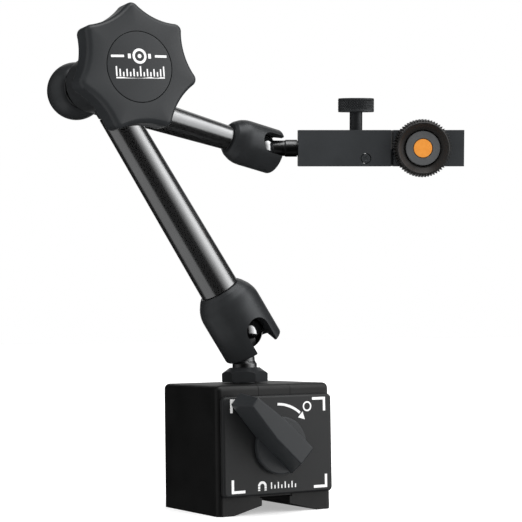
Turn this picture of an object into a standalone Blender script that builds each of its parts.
"""Magnetic base stand with a two-arm holder and a fine-adjust indicator clamp. Metres, +Z up."""
import math

import bmesh
import bpy
from mathutils import Matrix, Vector

for old in list(bpy.data.objects):
    bpy.data.objects.remove(old, do_unlink=True)

MM = 0.001
GAP = 0.3  # between touching pieces, in millimetres as every size below

WELD = 0.000001  # metres, under which points of a mesh made from a curve are one
SHARP_ANGLE = 30.0  # degrees between faces that stay a crisp edge

# Overall sizes
BASE_W = 41.2
BASE_D = 37.6
BASE_H = 40.4
LOWER_ARM = 93.3  # ball centre to elbow axis
UPPER_ARM = 70.5  # elbow axis to ball centre
BAR = 12.4  # square section of the fine-adjust bar
BAR_REACH = 69.2  # ball centre to the far end of the clamp

# Rest pose
LEAN = 33.3  # lower arm from the upright, towards -X
UPPER_DIP = 12.2  # upper arm below the level, towards +X
BAR_YAW = -30.1  # bar turned towards the front
BAR_DIP = -0.8
BAR_TWIST = 7.4
UPPER_CUP_ROLL = 10.0

# Base
FOOT_W = 5.6
SLOT_HALF = 5.0
SLOT_TOP = 5.3
VEE_TOP = 2.6
SPACER_HALF = 5.7
ROTOR_Z = 21.3
ROTOR_R = 12.0
EDGE_R = 1.8
PLATE_W = 39.6
PLATE_H = 31.0
PLATE_Z0 = 5.9
PLATE_T = 2.0
SHAFT_R = 3.0
COVER_R = 14.0
COVER_T = 1.5
KNOB_ON = 136.5  # direction of the bar's tip on the plate when on
KNOB_DISC_R = 9.0
KNOB_DISC_H = 1.9
KNOB_ARM_H = 11.8
KNOB_TIP = 21.9
KNOB_TAIL = 9.2

# Lower joint
BALL_RISE = 16.9  # ball centre above the top of the base
STUD_R = 4.0
STUD_DEPTH = 5.4  # of the stud in the base
LOWER_NECK_R = 3.0
BALL_SPIGOT_R = 2.0  # the stud's end inside its ball
BALL_SPIGOT_TOP = -2.0
NUT_AF = 13.0
NUT_H = 5.0
NUT_TURN = -2.0
LOWER_BALL_R = 6.0
LOWER_CUP_WALL = 4.25
LOWER_RIM = 6.3  # rim beyond the ball centre
LOWER_CUP_TOP = 16.2
LOWER_SLOT = 8.6
LOWER_TUBE_R0 = 6.5
LOWER_TUBE_R1 = 5.6
ROD_R = 2.0

# Elbow, distances along the knob axis from the lower arm's centre plane
HEAD_R = 8.8
HEAD_HALF = 5.5
DOME_OFFSET = 17.4
DOME_R = 9.3
DOME_CUT = 5.9
BOLT_R = 4.0
HUB_R = 7.0
KNOB_R = 19.7
KNOB_VALLEY = 16.7
KNOB_TIP_R = 2.2
KNOB_BACK = 21.0
KNOB_FLANK = 8.6
KNOB_CROWN = 1.5
CAP_R = 10.5
LOBES = 7
KNOB_TURN = 95.7

# Upper joint
UPPER_TUBE_R1 = 4.15
UPPER_BALL_R = 5.0
UPPER_CUP_R = 7.8
UPPER_RIM = 5.0
UPPER_CUP_TOP = 13.3
UPPER_SLOT = 7.3
STEM_R = 2.95
STEM_NECK_R = 2.7

# Fine-adjust bar, distances along the bar from the ball centre
BAR_X0 = 12.6
BAR_X1 = 44.2
CLAMP_X0 = 44.8
PIN_X = 35.7
PIN_Z = -3.5
PIN_R = 1.6
SCREW_X = 32.6
SCREW_R = 2.2
SCREW_HEAD_R = 6.3
SCREW_HEAD_Z0 = 12.4
SCREW_HEAD_H = 4.7
FORK_HALF = 3.3
CLAMP_KNOB_X = 54.3
CLAMP_KNOB_R = 9.8
CLAMP_CAP_R = 5.8
CLAMP_KNOB_H = 9.0
CLAMP_SCREW_R = 2.0
TAIL_ROOM_Z = -4.6
TAIL_LOW_Z = -2.2
SPRING_X = 25.0
SPRING_R = 1.6
SPRING_WIRE_R = 0.22
SPRING_TURNS = 2.5
STEM_HOLE_X = 63.0
STEM_HOLE_R = 4.05

GROUP = bpy.data.collections.new("magnetic_base_indicator_stand")
CUTTERS = bpy.data.collections.new("cutters")
CUTTERS.hide_render = True
bpy.context.scene.collection.children.link(GROUP)
bpy.context.scene.collection.children.link(CUTTERS)


def material(name, rgb, rough, metal):
    made = bpy.data.materials.new(name)
    made.use_nodes = True
    shader = made.node_tree.nodes["Principled BSDF"]
    shader.inputs["Base Color"].default_value = (rgb[0], rgb[1], rgb[2], 1.0)
    shader.inputs["Roughness"].default_value = rough
    shader.inputs["Metallic"].default_value = metal
    made.diffuse_color = (rgb[0], rgb[1], rgb[2], 1.0)
    return made


IRON = ("iron", (0.03, 0.03, 0.032), 0.5, 0.0)
BRASS = ("brass", (0.7, 0.5, 0.22), 0.35, 1.0)
FERRITE = ("ferrite", (0.09, 0.09, 0.1), 0.6, 0.3)
STEEL = ("steel", (0.55, 0.55, 0.56), 0.3, 1.0)
BLACK_STEEL = ("black_steel", (0.06, 0.06, 0.065), 0.35, 1.0)
TUBE = ("nickel_black", (0.16, 0.16, 0.17), 0.22, 1.0)
PLASTIC = ("black_plastic", (0.035, 0.035, 0.038), 0.5, 0.0)
PLATE = ("plate", (0.045, 0.045, 0.047), 0.5, 0.0)
ALU = ("anodised", (0.05, 0.05, 0.055), 0.42, 0.6)
GREY = ("grey", (0.12, 0.12, 0.125), 0.45, 0.0)
ORANGE = ("orange", (0.85, 0.32, 0.03), 0.4, 0.0)


def place(name, mesh, look, at=None, cutter=False):
    node = bpy.data.objects.new(name, mesh)
    (CUTTERS if cutter else GROUP).objects.link(node)
    if cutter:
        node.hide_render = True
        node.display_type = "WIRE"
    else:
        node.data.materials.append(material(name + "_" + look[0], *look[1:]))
    if at is not None:
        node.matrix_world = at
    return node


def mesh_of(name, bm):
    bmesh.ops.recalc_face_normals(bm, faces=bm.faces)
    mesh = bpy.data.meshes.new(name)
    bm.to_mesh(mesh)
    bm.free()
    return mesh


def smooth(node):
    """Shades a round piece smooth, and keeps its real corners crisp."""
    node.data.shade_smooth()
    node.data.set_sharp_from_angle(angle=math.radians(SHARP_ANGLE))
    return node


def evaluated_mesh(node):
    bpy.context.view_layer.update()
    graph = bpy.context.evaluated_depsgraph_get()
    return bpy.data.meshes.new_from_object(node.evaluated_get(graph))


def lathe(name, look, profile, at, steps=32, cutter=False):
    """Turns (radius, height) points about local Z, taken from the top down the outer side."""
    bm = bmesh.new()
    ahead = profile[1:] + profile[:1]
    if sum(a[0] * b[1] - b[0] * a[1] for a, b in zip(profile, ahead)) > 0.0:
        profile = profile[::-1]
    verts = [bm.verts.new((radius * MM, 0.0, height * MM)) for radius, height in profile]
    for a, b in zip(verts, verts[1:]):
        bm.edges.new((a, b))
    if min(radius for radius, height in profile) > 0.0:
        bm.edges.new((verts[-1], verts[0]))
    mesh = bpy.data.meshes.new(name)
    bm.to_mesh(mesh)
    bm.free()
    node = place(name, mesh, look, at, cutter)
    turning = node.modifiers.new("turn", "SCREW")
    turning.steps = steps
    turning.render_steps = steps
    turning.use_merge_vertices = True
    turning.merge_threshold = 0.00001
    turned = evaluated_mesh(node)
    node.modifiers.clear()
    node.data = turned
    return smooth(node)


def loft(name, look, rings, at, cutter=False):
    """Joins closed rings of equal count, each a list of (x, y, z), with flat ends."""
    bm = bmesh.new()
    rows = [[bm.verts.new((x * MM, y * MM, z * MM)) for x, y, z in ring] for ring in rings]
    count = len(rows[0])
    for low, high in zip(rows, rows[1:]):
        for i in range(count):
            j = (i + 1) % count
            bm.faces.new((low[i], low[j], high[j], high[i]))
    bm.faces.new(list(reversed(rows[0])))
    bm.faces.new(rows[-1])
    return place(name, mesh_of(name, bm), look, at, cutter)


def prism(name, look, outline, z0, z1, at, cutter=False):
    """A flat outline given a thickness: a filled 2D curve, made a mesh so that it can be cut or cut with."""
    curve = bpy.data.curves.new(name, "CURVE")
    curve.dimensions = "2D"
    curve.fill_mode = "BOTH"
    curve.extrude = (z1 - z0) / 2 * MM
    spline = curve.splines.new("POLY")
    spline.points.add(len(outline) - 1)
    for point, (x, y) in zip(spline.points, outline):
        point.co = (x * MM, y * MM, 0.0, 1.0)
    spline.use_cyclic_u = True
    flat = bpy.data.objects.new(name, curve)
    bpy.context.scene.collection.objects.link(flat)
    bm = bmesh.new()
    bm.from_mesh(evaluated_mesh(flat))
    bpy.data.objects.remove(flat, do_unlink=True)
    bmesh.ops.remove_doubles(bm, verts=bm.verts, dist=WELD)
    return place(name, mesh_of(name, bm), look, at @ shift(0, 0, (z0 + z1) / 2), cutter)


def box(name, look, low, high, at=None, cutter=False, edge=0.0, segments=2):
    bm = bmesh.new()
    bmesh.ops.create_cube(bm, size=1.0)
    for vert in bm.verts:
        for i in range(3):
            vert.co[i] = (low[i] if vert.co[i] < 0.0 else high[i]) * MM
    node = place(name, mesh_of(name, bm), look, at, cutter)
    if edge > 0.0:
        bevel(node, edge, segments)
    return node


def bevel(node, width, segments=2, angle=40.0):
    made = node.modifiers.new("edges", "BEVEL")
    made.width = width * MM
    made.segments = segments
    made.limit_method = "ANGLE"
    made.angle_limit = math.radians(angle)
    return made


def boolean(node, other, operation="DIFFERENCE"):
    made = node.modifiers.new("cut", "BOOLEAN")
    made.operation = operation
    made.solver = "EXACT"
    made.object = other


def rod(name, look, radius, z0, z1, at, steps=32, cutter=False):
    bm = bmesh.new()
    bmesh.ops.create_cone(bm, cap_ends=True, segments=steps, radius1=radius * MM, radius2=radius * MM,
                          depth=(z1 - z0) * MM, matrix=shift(0, 0, (z0 + z1) / 2))
    return smooth(place(name, mesh_of(name, bm), look, at, cutter))


def bore(node, name, radius, z0, z1, at, steps=32):
    boolean(node, rod(name, IRON, radius, z0, z1, at, steps, cutter=True))


def cut_box(node, name, low, high, at=None):
    boolean(node, box(name, IRON, low, high, at, cutter=True))


def shift(x, y, z):
    return Matrix.Translation(Vector((x, y, z)) * MM)


def turn(degrees, axis):
    return Matrix.Rotation(math.radians(degrees), 4, axis)


def arc(cx, cy, radius, start, end, count):
    step = (end - start) / count
    angles = [math.radians(start + step * i) for i in range(count + 1)]
    return [(cx + radius * math.cos(a), cy + radius * math.sin(a)) for a in angles]


BALL_Z = BASE_H + BALL_RISE
LOWER_CUP_R = LOWER_BALL_R + LOWER_CUP_WALL
HALF_W = BASE_W / 2
FRONT_Y = -BASE_D / 2
REAR_Y = BASE_D / 2

# Local Z of these frames points out of the base's front, then out of its rear.
FRONT = shift(0, FRONT_Y, ROTOR_Z) @ turn(90, "X")
REAR = shift(0, REAR_Y, ROTOR_Z) @ turn(-90, "X")

# Magnetic base: two iron poles either side of non-magnetic spacers, with the rotor between them.


def pole(name, side):
    low = (-HALF_W, FRONT_Y, -6)
    node = box(name, IRON, low, (HALF_W, REAR_Y, BASE_H), edge=EDGE_R, segments=3)
    cut_box(node, name + "_sole", (-30, -30, -20), (30, 30, 0))
    inner = SPACER_HALF + GAP
    low_x = -30 if side > 0 else -inner
    high_x = inner if side > 0 else 30
    cut_box(node, name + "_half", (low_x, -30, SLOT_TOP - GAP), (high_x, 30, 60))
    low_x = -30 if side > 0 else -SLOT_HALF
    high_x = SLOT_HALF if side > 0 else 30
    cut_box(node, name + "_slot", (low_x, -30, -15), (high_x, 30, SLOT_TOP))
    foot = HALF_W - FOOT_W
    vee = [(-foot, -1), (foot, -1), (foot, 0), (SLOT_HALF, VEE_TOP), (-SLOT_HALF, VEE_TOP), (-foot, 0)]
    groove = prism(name + "_vee", IRON, vee, -30, 30, turn(90, "X"), cutter=True)
    boolean(node, groove)
    bore(node, name + "_bore", ROTOR_R + GAP, -BASE_D - 5, 5, FRONT, 48)
    bore(node, name + "_seat", COVER_R + GAP, -COVER_T - GAP, 5, REAR, 48)
    return node


left_pole = pole("left_pole", -1)
right_pole = pole("right_pole", 1)


def spacer(name, look, z0, z1):
    node = box(name, look, (-SPACER_HALF, FRONT_Y + 0.1, z0), (SPACER_HALF, REAR_Y - 0.1, z1))
    bore(node, name + "_bore", ROTOR_R + GAP, -BASE_D - 5, 5, FRONT, 48)
    bore(node, name + "_seat", COVER_R + GAP, -COVER_T - GAP, 5, REAR, 48)
    return node


upper_spacer = spacer("upper_spacer", IRON, ROTOR_Z + 9, BASE_H)
bore(upper_spacer, "stud_hole", STUD_R + GAP, 20, 50, shift(0, 0, 0))
lower_spacer = spacer("lower_spacer", BRASS, SLOT_TOP, ROTOR_Z - 9)

rotor_z0 = -BASE_D + COVER_T + 2 * GAP + 1.0
magnet_rotor = lathe("magnet_rotor", FERRITE, [
    (SHAFT_R + GAP, -1.0), (ROTOR_R - 0.6, -1.0), (ROTOR_R, -1.6), (ROTOR_R, rotor_z0 + 0.6),
    (ROTOR_R - 0.6, rotor_z0), (SHAFT_R + GAP, rotor_z0)], FRONT, 40)
knob_face = PLATE_T + GAP
rotor_shaft = lathe("rotor_shaft", STEEL, [
    (0, knob_face + 4.4), (SHAFT_R - 0.4, knob_face + 4.4), (SHAFT_R, knob_face + 4.0),
    (SHAFT_R, rotor_z0 - 0.3), (0, rotor_z0 - 0.3)], FRONT, 24)

front_plate = box("front_plate", PLATE, (-PLATE_W / 2, PLATE_Z0 - ROTOR_Z, GAP),
                  (PLATE_W / 2, PLATE_Z0 + PLATE_H - ROTOR_Z, PLATE_T + GAP), FRONT)
bevel(front_plate, 0.6, 2)
bore(front_plate, "plate_hole", SHAFT_R + GAP, -5, 10, FRONT, 24)
rear_cover = lathe("rear_cover", BLACK_STEEL, [
    (0, 0), (COVER_R - 0.5, 0), (COVER_R, -0.5), (COVER_R, -COVER_T), (0, -COVER_T)], REAR, 40)

# Switch knob: a round disc with a tapered bar that points up and to the left when on.
ON = FRONT @ turn(KNOB_ON, "Z")
plate_top = PLATE_T + 2 * GAP
switch_knob = lathe("switch_knob", PLASTIC, [
    (0, plate_top + KNOB_DISC_H), (KNOB_DISC_R - 0.5, plate_top + KNOB_DISC_H),
    (KNOB_DISC_R, plate_top + KNOB_DISC_H - 0.5), (KNOB_DISC_R, plate_top), (0, plate_top)], ON, 40)


def bar_ring(tip, tail, wide, narrow, z):
    """Outline of the bar at one height: parallel over the disc, then tapering to the tip."""
    knee = KNOB_DISC_R * 0.85
    return [(-tail, -wide, z), (knee, -wide, z), (tip, -narrow, z), (tip, narrow, z),
            (knee, wide, z), (-tail, wide, z)]


lever = loft("switch_lever", IRON, [
    bar_ring(KNOB_TIP - 0.3, KNOB_TAIL, 4.0, 2.4, plate_top + 0.5),
    bar_ring(KNOB_TIP, KNOB_TAIL, 4.1, 2.5, plate_top + 0.9),
    bar_ring(KNOB_TIP - 0.7, KNOB_TAIL - 4.6, 3.55, 1.9, plate_top + KNOB_ARM_H - 0.3),
    bar_ring(KNOB_TIP - 1.0, KNOB_TAIL - 5.0, 3.3, 1.7, plate_top + KNOB_ARM_H)], ON, cutter=True)
boolean(switch_knob, lever, "UNION")
bore(switch_knob, "shaft_socket", SHAFT_R + GAP, -1, knob_face + 4.4 + GAP, ON, 24)

# Locknut and ball stud
across = NUT_AF / 2 / math.cos(math.pi / 6)
stud_locknut = rod("stud_locknut", BLACK_STEEL, across, BASE_H + GAP, BASE_H + NUT_H, turn(NUT_TURN, "Z"), 6)
cone = lathe("nut_cone", IRON, [
    (0, BASE_H + NUT_H + 0.01), (4.9, BASE_H + NUT_H + 0.01), (across + 0.3, BASE_H + 2.9),
    (across + 0.3, BASE_H + 0.8), (across - 0.4, BASE_H + GAP - 0.01), (0, BASE_H + GAP - 0.01)],
    shift(0, 0, 0), 48, cutter=True)
boolean(stud_locknut, cone, "INTERSECT")
bore(stud_locknut, "nut_hole", STUD_R + GAP, 30, 60, shift(0, 0, 0))

BALL = shift(0, 0, BALL_Z)


def sphere_arc(radius, start, end, count, z=0.0):
    """(radius, height) points from one latitude to another, in degrees."""
    return [(x, z + y) for x, y in arc(0, 0, radius, start, end, count)]


neck_top = -math.degrees(math.acos(LOWER_NECK_R / LOWER_BALL_R))
ball_profile = [(0, LOWER_BALL_R)] + sphere_arc(LOWER_BALL_R, 76, neck_top, 9)
ball_foot = ball_profile[-1][1]
ball_profile += [(BALL_SPIGOT_R + GAP, ball_foot), (BALL_SPIGOT_R + GAP, BALL_SPIGOT_TOP + GAP),
                 (0, BALL_SPIGOT_TOP + GAP)]
stud_ball = lathe("stud_ball", STEEL, ball_profile, BALL, 32)
ball_stud = lathe("ball_stud", STEEL, [
    (0, BALL_SPIGOT_TOP), (BALL_SPIGOT_R, BALL_SPIGOT_TOP), (BALL_SPIGOT_R, ball_foot - GAP),
    (LOWER_NECK_R, ball_foot - GAP), (LOWER_NECK_R, -LOWER_BALL_R), (STUD_R - 0.6, -LOWER_BALL_R - 3.8),
    (STUD_R, -LOWER_BALL_R - 4.7),
    (STUD_R, 0.6 - STUD_DEPTH - BALL_RISE), (STUD_R - 0.6, -STUD_DEPTH - BALL_RISE), (0, -STUD_DEPTH - BALL_RISE)],
    BALL, 32)

# Lower arm: local Z runs from the ball centre to the elbow.
LOWER = BALL @ turn(-LEAN, "Y")
lean = math.radians(LEAN)
ELBOW_X = -LOWER_ARM * math.sin(lean)
ELBOW_Z = BALL_Z + LOWER_ARM * math.cos(lean)

bore_r = LOWER_BALL_R + GAP
seat_z = -2.5
pad_r = LOWER_BALL_R - 0.1
pad_edge = math.degrees(math.acos((pad_r - 0.5) / bore_r))
pad_top = 9.0
lower_pad = lathe("lower_pad", BLACK_STEEL, [
    (0, pad_top), (pad_r - 0.5, pad_top), (pad_r, pad_top - 0.5), (pad_r, 4.2),
    (pad_r - 0.5, 3.2)] + sphere_arc(bore_r, pad_edge, 90, 6), LOWER, 24)

spigot_r = LOWER_TUBE_R0 - 1.3
cup_inner = [(spigot_r + GAP, LOWER_CUP_TOP), (spigot_r + GAP, 9.9), (bore_r, 9.9), (bore_r, 0)]
cup_inner += sphere_arc(bore_r, -10, math.degrees(math.asin(seat_z / bore_r)), 2)
cup_inner += [(LOWER_CUP_R - 1.6, -LOWER_RIM)]
r = LOWER_CUP_R
cup_outer = [(r - 3.2, LOWER_CUP_TOP), (r - 2.3, LOWER_CUP_TOP - 1.0), (r - 1.0, LOWER_CUP_TOP - 3.1),
             (r - 0.25, LOWER_CUP_TOP - 5.0), (r, LOWER_CUP_TOP - 6.6), (r, -LOWER_RIM + 1.4),
             (r - 0.35, -LOWER_RIM + 0.35), (r - 1.2, -LOWER_RIM)]
lower_socket_cup = lathe("lower_socket_cup", BLACK_STEEL, cup_outer + cup_inner[::-1], LOWER, 32)


def notch(node, name, width, depth, at):
    """A slot right across the mouth, its round end about the ball centre."""
    half = width / 2
    outline = [(-half, -depth), (half, -depth)] + arc(0, 0, half, 0, 180, 12)
    cutter = prism(name, IRON, outline, -20, 20, at @ turn(90, "X"), cutter=True)
    boolean(node, cutter)


notch(lower_socket_cup, "lower_notch", LOWER_SLOT, 12, LOWER)

tube_foot = LOWER_CUP_TOP + GAP
tube_head = LOWER_ARM - HEAD_R - GAP
lower_tube = lathe("lower_tube", TUBE, [
    (LOWER_TUBE_R1, tube_head - 1.2), (LOWER_TUBE_R0, tube_foot), (spigot_r, tube_foot),
    (spigot_r, 10.3), (ROD_R + GAP + 0.2, 10.3), (ROD_R + GAP + 0.2, tube_head + 4.0),
    (4.0, tube_head + 4.0), (4.0, tube_head - 1.2)], LOWER, 32)
rod_top = LOWER_ARM - BOLT_R - 0.9
lower_push_rod = lathe("lower_push_rod", STEEL, [
    (0, rod_top), (1.0, rod_top), (ROD_R, rod_top - 1.6), (ROD_R, pad_top + GAP), (0, pad_top + GAP)],
    LOWER, 16)

# Elbow: local Z runs forward along the knob axis from the lower arm's centre plane.
ELBOW = shift(ELBOW_X, 0, ELBOW_Z) @ turn(90, "X")
lower_arm_head = lathe("lower_arm_head", BLACK_STEEL, [
    (BOLT_R + GAP, HEAD_HALF), (HEAD_R - 0.8, HEAD_HALF), (HEAD_R, HEAD_HALF - 0.8),
    (HEAD_R, -HEAD_HALF + 0.8), (HEAD_R - 0.8, -HEAD_HALF), (BOLT_R + GAP, -HEAD_HALF)], ELBOW, 40)
collar = rod("head_collar", IRON, LOWER_TUBE_R1, LOWER_ARM - HEAD_R - 1.2, LOWER_ARM - HEAD_R + 3, LOWER,
             32, cutter=True)
boolean(lower_arm_head, collar, "UNION")
bore(lower_arm_head, "collar_hole", 4.0 + GAP, tube_head - 10, tube_head + 4.0 + GAP, LOWER)
bore(lower_arm_head, "rod_hole", ROD_R + GAP + 0.2, tube_head - 10, LOWER_ARM - 3, LOWER, 20)

elbow_washer = lathe("elbow_washer", STEEL, [
    (BOLT_R + GAP, -HEAD_HALF - GAP), (6.9, -HEAD_HALF - GAP), (6.9, -DOME_OFFSET + DOME_CUT + GAP),
    (BOLT_R + GAP, -DOME_OFFSET + DOME_CUT + GAP)], ELBOW, 32)

hub_z0 = HEAD_HALF + GAP
draw_bolt = lathe("draw_bolt", STEEL, [
    (0, KNOB_BACK + 2.2), (BOLT_R - 0.6, KNOB_BACK + 2.2), (BOLT_R, KNOB_BACK + 1.6),
    (BOLT_R, 3.4), (BOLT_R - 1.0, 1.6), (BOLT_R - 1.0, -1.2), (BOLT_R, -3.0),
    (BOLT_R, -DOME_OFFSET + 3.0), (BOLT_R - 1.2, -DOME_OFFSET + 1.4),
    (BOLT_R - 1.2, -DOME_OFFSET - 3.8), (0, -DOME_OFFSET - 3.8)], ELBOW, 28)
knob_hub = lathe("knob_hub", BLACK_STEEL, [
    (BOLT_R + GAP, KNOB_BACK + 2.6), (HUB_R - 1.4, KNOB_BACK + 2.6), (HUB_R - 1.4, KNOB_BACK - GAP),
    (HUB_R, KNOB_BACK - GAP), (HUB_R, hub_z0 + 0.6), (HUB_R - 0.6, hub_z0), (BOLT_R + GAP, hub_z0)],
    ELBOW, 32)


def star(inset, per=6):
    """The knob's outline: seven rounded tips joined by shallow scallops that meet them smoothly."""
    tip_r = max(KNOB_TIP_R - inset, 0.3)
    reach = KNOB_R - inset - tip_r
    valley = KNOB_VALLEY - inset
    half = math.pi / LOBES
    c = reach * math.cos(half)
    s = reach * math.sin(half)
    big = ((valley - c) ** 2 + s * s - tip_r * tip_r) / (2 * (tip_r - valley + c))
    out = valley + big
    # Half the angle each tip arc and each scallop arc turns through.
    tip_span = math.degrees(math.atan2(out * math.sin(half), out * math.cos(half) - reach))
    dip_span = math.degrees(math.atan2(s, out - c))
    points = []
    for k in range(LOBES):
        mid = 360.0 * k / LOBES
        a = math.radians(mid)
        x = reach * math.cos(a)
        y = reach * math.sin(a)
        points += arc(x, y, tip_r, mid - tip_span, mid + tip_span, per // 2)
        b = a + half
        facing = mid + 180.0 / LOBES + 180.0
        dip = arc(out * math.cos(b), out * math.sin(b), big, facing + dip_span, facing - dip_span, per)
        points += dip[1:-1]
    return points


def ring(points, z):
    return [(x, y, z) for x, y in points]


def blend(points, radius, share, z):
    """Moves an outline part of the way to a circle of the given radius."""
    made = []
    for x, y in points:
        length = math.hypot(x, y)
        k = (1 - share) + share * radius / length
        made.append((x * k, y * k, z))
    return made


front = KNOB_BACK + KNOB_FLANK
crown = front + KNOB_CROWN
KNOB = ELBOW @ turn(KNOB_TURN, "Z")
star_knob = loft("star_knob", PLASTIC, [
    ring(star(1.6), KNOB_BACK), ring(star(0.5), KNOB_BACK + 0.4), ring(star(0.0), KNOB_BACK + 1.5),
    ring(star(0.0), front - 1.3), ring(star(0.5), front - 0.3), ring(star(1.5), front + 0.25),
    blend(star(1.5), CAP_R + 2, 0.6, front + KNOB_CROWN * 0.66),
    blend(star(1.5), CAP_R + 0.35, 1.0, crown)], KNOB)
bore(star_knob, "cap_seat", CAP_R + 0.2, crown - 1.5 - GAP, crown + 5, KNOB, 48)
bore(star_knob, "hub_seat", HUB_R - 1.4 + GAP, KNOB_BACK - 5, KNOB_BACK + 2.6 + GAP, KNOB)
knob_cap = lathe("knob_cap", PLASTIC, [
    (0, crown + 0.35), (CAP_R * 0.5, crown + 0.26), (CAP_R - 0.2, crown), (CAP_R, crown - 0.2),
    (CAP_R, crown - 1.5), (0, crown - 1.5)], KNOB, 48)

# Upper arm: local Z runs from the elbow axis to the ball centre, in a plane behind the lower arm.
UPPER = shift(ELBOW_X, DOME_OFFSET, ELBOW_Z) @ turn(90 + UPPER_DIP, "Y")
face_r = math.sqrt(DOME_R ** 2 - DOME_CUT ** 2) - 0.3
dome = [(0, -4.4), (BOLT_R + GAP, -4.4), (BOLT_R + GAP, DOME_CUT), (face_r, DOME_CUT)]
dome += sphere_arc(DOME_R, 36, -80, 9) + [(0, -DOME_R)]
upper_arm_head = lathe("upper_arm_head", BLACK_STEEL, dome, ELBOW @ shift(0, 0, -DOME_OFFSET), 36)
tube_end = UPPER_ARM - UPPER_CUP_TOP - GAP
upper_tube = lathe("upper_tube", TUBE, [
    (1.9, UPPER_ARM - 8.4), (2.9, UPPER_ARM - 8.4), (2.9, tube_end), (UPPER_TUBE_R1, tube_end),
    (5.45, 11.0), (4.0, 11.0), (4.0, 6.5), (1.9, 6.5)], UPPER, 32)
collar2 = rod("dome_collar", IRON, 5.55, 5.0, 10.7, UPPER, 32, cutter=True)
boolean(upper_arm_head, collar2, "UNION")
bore(upper_arm_head, "dome_socket", 4.0 + GAP, 6.2, 30, UPPER)
bore(upper_arm_head, "dome_rod_hole", 1.9, 1.0, 30, UPPER, 20)
ubore = UPPER_BALL_R + GAP
upad = UPPER_BALL_R - 0.1
UPPER_BALL = UPPER @ shift(0, 0, UPPER_ARM)
seat = [(x, -y) for x, y in sphere_arc(ubore, 90, 33, 5)]
upper_push_rod = lathe("upper_push_rod", STEEL, seat + [
    (upad, -3.6), (upad, -7.2), (1.5, -7.2), (1.5, -UPPER_ARM + BOLT_R + 2.6),
    (0.8, -UPPER_ARM + BOLT_R + 0.9), (0, -UPPER_ARM + BOLT_R + 0.9)], UPPER_BALL, 24)
CUP2 = UPPER_BALL @ turn(180, "X") @ turn(UPPER_CUP_ROLL, "Z")
r2 = UPPER_CUP_R
cup2_outer = [(r2 - 2.6, UPPER_CUP_TOP), (r2 - 1.7, UPPER_CUP_TOP - 0.9), (r2 - 0.6, UPPER_CUP_TOP - 2.9),
              (r2 - 0.1, UPPER_CUP_TOP - 4.8), (r2, UPPER_CUP_TOP - 6.4), (r2, -UPPER_RIM + 1.2),
              (r2 - 0.35, -UPPER_RIM + 0.35), (r2 - 1.2, -UPPER_RIM)]
cup2_inner = [(3.2, UPPER_CUP_TOP), (3.2, 8.0), (ubore, 8.0), (ubore, 0)]
cup2_inner += sphere_arc(ubore, -12, -24, 2)
cup2_inner += [(r2 - 1.9, -UPPER_RIM)]
upper_socket_cup = lathe("upper_socket_cup", BLACK_STEEL, cup2_outer + cup2_inner[::-1], CUP2, 32)
notch(upper_socket_cup, "upper_notch", UPPER_SLOT, 12, CUP2)

# Fine-adjust bar: local X runs along the bar, local Y away from the front.
bar_centre = UPPER_BALL.to_translation()
BARF = (Matrix.Translation(bar_centre) @ turn(BAR_YAW, "Z") @ turn(-BAR_DIP, "Y") @ turn(BAR_TWIST, "X"))
ALONG = BARF @ turn(90, "Y")  # local Z along the bar
H = BAR / 2
neck2 = math.degrees(math.acos(STEM_NECK_R / UPPER_BALL_R))
upper_ball_stem = lathe("upper_ball_stem", STEEL, [
    (0, 19.0), (2.0, 19.0), (2.5, 18.5), (2.5, BAR_X0 - GAP), (STEM_R, BAR_X0 - GAP), (STEM_R, 8.3),
    (STEM_NECK_R, 8.0)] + sphere_arc(UPPER_BALL_R, neck2, -76, 9) + [(0, -UPPER_BALL_R)], ALONG, 28)

fine_adjust_body = box("fine_adjust_body", ALU, (BAR_X0, -H, -H), (BAR_X1, H, H), BARF, edge=0.35, segments=1)
cut_box(fine_adjust_body, "fork", (29.0, -FORK_HALF, -20), (60, FORK_HALF, 2.6), BARF)
cut_box(fine_adjust_body, "tail_room", (21.0, -FORK_HALF, TAIL_ROOM_Z), (29.5, FORK_HALF, 2.6), BARF)
bore(fine_adjust_body, "stem_thread", 2.5 + GAP, 0, 19.0 + GAP, ALONG, 24)
SCREW = BARF @ shift(SCREW_X, 0, 0)
bore(fine_adjust_body, "screw_hole", SCREW_R + GAP, 1, 20, SCREW, 24)
PIN = BARF @ shift(PIN_X, 0, PIN_Z) @ turn(90, "X")
bore(fine_adjust_body, "pin_hole", PIN_R + 0.2, -20, 20, PIN, 24)
pivot_pin = rod("pivot_pin", BLACK_STEEL, PIN_R, -H + 0.02, H - 0.02, PIN, 24)

head_top = SCREW_HEAD_Z0 + SCREW_HEAD_H
fine_adjust_screw = lathe("fine_adjust_screw", BLACK_STEEL, [
    (0, head_top), (SCREW_HEAD_R - 0.5, head_top), (SCREW_HEAD_R, head_top - 0.5),
    (SCREW_HEAD_R, SCREW_HEAD_Z0 + 0.5), (SCREW_HEAD_R - 0.5, SCREW_HEAD_Z0), (SCREW_R, SCREW_HEAD_Z0),
    (SCREW_R, 0.6), (SCREW_R - 0.5, 0.0), (0, 0.0)], SCREW, 32)

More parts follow.
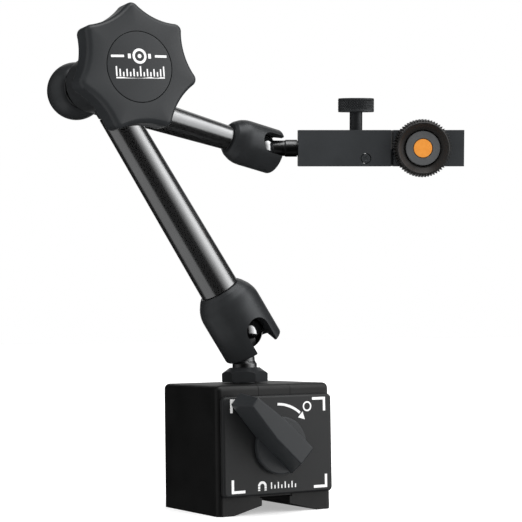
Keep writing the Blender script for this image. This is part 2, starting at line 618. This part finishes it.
tongue_half = FORK_HALF - GAP
lever_top = -GAP
clamp_block = box("clamp_block", ALU, (CLAMP_X0, -H, -H), (BAR_REACH, H, H), BARF, edge=0.35, segments=1)
tongue = box("tongue", IRON, (29.8, -tongue_half, -H + 0.5), (CLAMP_X0 + 2, tongue_half, lever_top), BARF,
             cutter=True)
tail = box("tail", IRON, (22.0, -tongue_half, TAIL_LOW_Z), (30.8, tongue_half, lever_top), BARF, cutter=True)
boolean(tongue, tail, "UNION")
boolean(clamp_block, tongue, "UNION")
bore(clamp_block, "lever_pin_hole", PIN_R + 0.2, -20, 20, PIN, 24)
JAW = BARF @ shift(CLAMP_KNOB_X, 0, 0) @ turn(90, "X")  # local Z towards the front
bore(clamp_block, "clamp_thread", CLAMP_SCREW_R + GAP, -20, 20, JAW, 24)
cut_box(clamp_block, "jaw_room", (CLAMP_X0 + 4.0, -20, -20), (80, -0.3, 20), BARF)
STEM_HOLE = BARF @ shift(STEM_HOLE_X, 0, 0)
bore(clamp_block, "stem_half", STEM_HOLE_R, -20, 20, STEM_HOLE, 32)
clamp_jaw = box("clamp_jaw", ALU, (CLAMP_X0 + 4.0 + GAP, -H, -H), (BAR_REACH, -0.7, H), BARF, edge=0.35,
                segments=1)
bore(clamp_jaw, "jaw_stem_half", STEM_HOLE_R, -20, 20, STEM_HOLE, 32)
bore(clamp_jaw, "jaw_hole", CLAMP_SCREW_R + GAP, -20, 20, JAW, 24)


# Return spring under the lever's tail
def coil(name, look, radius, wire, z0, z1, turns, at, around=12):
    curve = bpy.data.curves.new(name, "CURVE")
    curve.dimensions = "3D"
    curve.bevel_depth = wire * MM
    curve.bevel_resolution = 1
    curve.use_fill_caps = True
    total = int(turns * around)
    spline = curve.splines.new("POLY")
    spline.points.add(total)
    for i, point in enumerate(spline.points):
        a = 2 * math.pi * i / around
        z = z0 + wire + (z1 - z0 - 2 * wire) * i / total
        point.co = (radius * math.cos(a) * MM, radius * math.sin(a) * MM, z * MM, 1.0)
    return place(name, curve, look, at)


return_spring = coil("return_spring", STEEL, SPRING_R, SPRING_WIRE_R, TAIL_ROOM_Z + 0.1, TAIL_LOW_Z - 0.4,
                     SPRING_TURNS, BARF @ shift(SPRING_X, 0, 0))

# Clamp knob with a fine-toothed rim, a conical recess and a flat cap
TEETH = 60
kz0 = H + 2 * GAP  # room for the jaw to open
kz1 = kz0 + CLAMP_KNOB_H


def toothed(radius, depth, z):
    """A round outline with the rim's teeth cut to a depth."""
    points = []
    for k in range(TEETH * 2):
        a = math.pi * k / TEETH
        reach = radius if k % 2 == 0 else radius - depth
        points.append((reach * math.cos(a), reach * math.sin(a), z))
    return points


clamp_knob = loft("clamp_knob", PLASTIC, [
    toothed(CLAMP_KNOB_R - 0.5, 0.0, kz0), toothed(CLAMP_KNOB_R, 0.6, kz0 + 0.5),
    toothed(CLAMP_KNOB_R, 0.6, kz1 - 1.2), toothed(CLAMP_KNOB_R - 0.75, 0.0, kz1 - 0.3),
    toothed(CLAMP_KNOB_R - 1.1, 0.0, kz1)], JAW)
recess = lathe("knob_recess", IRON, [
    (0, kz1 + 1), (CLAMP_KNOB_R - 1.2, kz1 + 1), (CLAMP_KNOB_R - 1.3, kz1), (CLAMP_CAP_R + GAP, kz1 - 2.4),
    (CLAMP_CAP_R + GAP, kz1 - 4.0), (0, kz1 - 4.0)], JAW, 40, cutter=True)
boolean(clamp_knob, recess)
bore(clamp_knob, "knob_thread", CLAMP_SCREW_R + GAP, -5, 40, JAW, 24)
clamp_screw = rod("clamp_screw", STEEL, CLAMP_SCREW_R, -H + 0.5, kz1 - 4.0, JAW, 24)
clamp_cap = lathe("clamp_cap", GREY, [
    (0, kz1 - 2.6), (3.35, kz1 - 2.6), (3.35, kz1 - 1.9), (CLAMP_CAP_R - 0.35, kz1 - 1.9),
    (CLAMP_CAP_R, kz1 - 2.2), (CLAMP_CAP_R, kz1 - 3.7), (0, kz1 - 3.7)], JAW, 40)
cap_mark = rod("cap_mark", ORANGE, 3.1, kz1 - 2.35, kz1 - 1.85, JAW, 32)

# Each moving body hangs from an empty on its joint's axis, and all of them from one at the base.


def pivot(name, at, parent):
    made = bpy.data.objects.new("pivot_" + name, None)
    made.empty_display_size = 5 * MM
    GROUP.objects.link(made)
    made.parent = parent
    bpy.context.view_layer.update()
    made.matrix_world = at
    bpy.context.view_layer.update()
    return made


def hang(parent, *nodes):
    for node in nodes:
        kept = node.matrix_world.copy()
        node.parent = parent
        node.matrix_world = kept
    bpy.context.view_layer.update()


stand = pivot("stand", Matrix.Identity(4), None)
hang(stand, left_pole, right_pole, upper_spacer, lower_spacer, front_plate, rear_cover)
hang(pivot("switch", FRONT, stand), switch_knob, rotor_shaft, magnet_rotor)
hang(pivot("locknut", shift(0, 0, BASE_H), stand), stud_locknut)
stud_pivot = pivot("stud", BALL, stand)
hang(stud_pivot, stud_ball, ball_stud)
pad_pivot = pivot("lower_tilt", BALL, stud_pivot)
hang(pad_pivot, lower_pad)
lower_pivot = pivot("lower_roll", LOWER, pad_pivot)
hang(lower_pivot, lower_socket_cup, lower_tube, lower_push_rod, lower_arm_head, elbow_washer)
hang(pivot("elbow_bolt", ELBOW, lower_pivot), draw_bolt)
hang(pivot("lock_knob", ELBOW, lower_pivot), star_knob, knob_hub, knob_cap)
upper_pivot = pivot("upper_arm", ELBOW, lower_pivot)
hang(upper_pivot, upper_arm_head, upper_tube, upper_push_rod, upper_socket_cup)
stem_pivot = pivot("upper_stem", CUP2, upper_pivot)
hang(stem_pivot, upper_ball_stem)
bar_pivot = pivot("fine_bar", ALONG, stem_pivot)
hang(bar_pivot, fine_adjust_body, pivot_pin, return_spring)
hang(pivot("fine_screw", SCREW, bar_pivot), fine_adjust_screw)
clamp_pivot = pivot("clamp_lever", PIN, bar_pivot)
hang(clamp_pivot, clamp_block, clamp_screw)
hang(pivot("front_jaw", JAW, clamp_pivot), clamp_jaw)
hang(pivot("jaw_knob", JAW, clamp_pivot), clamp_knob, clamp_cap, cap_mark)
hang(stand, *CUTTERS.objects)

# The box around everything stands on z = 0 with its middle on the Z axis.
graph = bpy.context.evaluated_depsgraph_get()
lows = Vector((1e9, 1e9, 1e9))
highs = Vector((-1e9, -1e9, -1e9))
for node in GROUP.objects:
    if node.type == "EMPTY":
        continue
    seen = node.evaluated_get(graph)
    made = seen.to_mesh()
    for vert in made.vertices:
        spot = seen.matrix_world @ vert.co
        for i in range(3):
            lows[i] = min(lows[i], spot[i])
            highs[i] = max(highs[i], spot[i])
    seen.to_mesh_clear()
OFFSET = Vector((-(lows.x + highs.x) / 2, -(lows.y + highs.y) / 2, -lows.z))
stand.location = OFFSET
bpy.context.view_layer.update()
